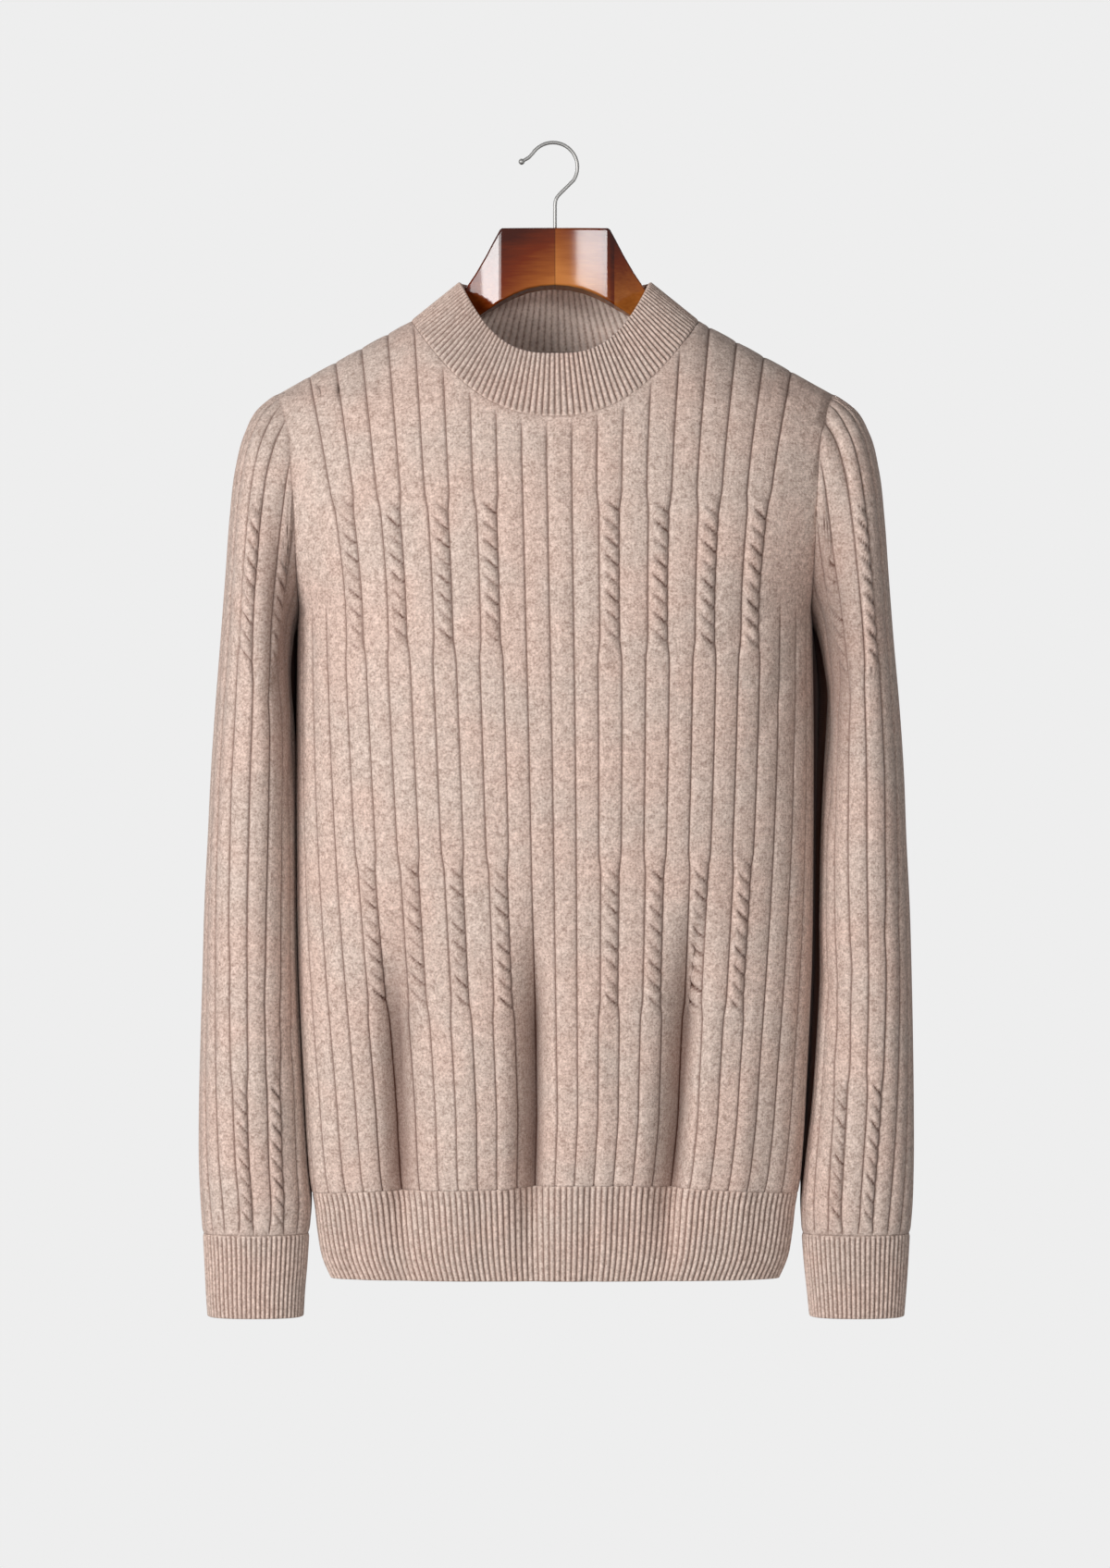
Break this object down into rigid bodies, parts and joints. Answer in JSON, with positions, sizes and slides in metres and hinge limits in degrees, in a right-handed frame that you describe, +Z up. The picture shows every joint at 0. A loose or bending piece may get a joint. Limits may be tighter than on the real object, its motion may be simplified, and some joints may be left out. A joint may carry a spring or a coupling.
{
  "type": "mock neck sweater on a wooden hanger",
  "caption": "A long-sleeved mock neck sweater in wide rib with rope cables, hollow and hanging full length on a shaped wooden hanger with a steel hook.",
  "frame": {"origin": "the inside of the hook's top, where the rail carries it", "axes": "+Z up, the sweater's front faces -Y, +X towards the wearer's left sleeve"},
  "size_m": [0.5242, 0.1958, 0.8641],
  "materials": {
    "wool_knit": "carded wool in heathered beige, knitted in wide flat ribs with rope cables, matt with a soft nap",
    "wool_rib": "the same yarn in a fine 1x1 rib",
    "varnished_wood": "red-brown wood under a clear gloss varnish",
    "steel_wire": "bright plated steel wire"
  },
  "bodies": {
    "root": {"front": "wool_knit", "back": "wool_knit", "sleeve_left": "wool_knit", "sleeve_right": "wool_knit", "neckband": "wool_rib", "hem_rib": "wool_rib", "cuff_left": "wool_rib", "cuff_right": "wool_rib", "hanger_left": "varnished_wood", "hanger_right": "varnished_wood", "hook": "steel_wire"}
  },
  "joints": []
}
